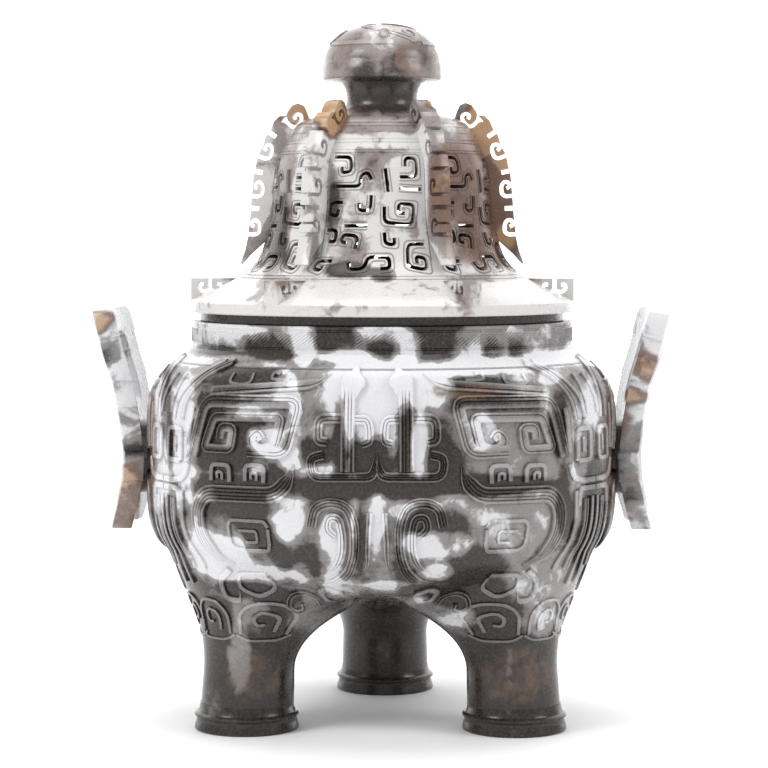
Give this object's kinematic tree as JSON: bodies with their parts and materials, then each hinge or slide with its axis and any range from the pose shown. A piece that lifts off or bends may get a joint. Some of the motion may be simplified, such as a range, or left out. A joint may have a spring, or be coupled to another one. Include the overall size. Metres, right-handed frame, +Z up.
{
  "type": "hardstone tripod ding with a pierced lid",
  "caption": "Three-legged carved hardstone ding: a hollow bowl with upright side handles and a loose pierced lid with fins and a knob.",
  "frame": {"origin": "on the plane the feet stand on, under the middle of the whole object's box", "axes": "+Z up, +X along the line through the two handles, -Y towards the front arch between two of the legs"},
  "size_m": [0.351, 0.2818, 0.42],
  "materials": {
    "vessel_stone": "polished",
    "lid_stone": "polished"
  },
  "bodies": {
    "root": {"vessel": "vessel_stone", "lid": "lid_stone"}
  },
  "joints": []
}
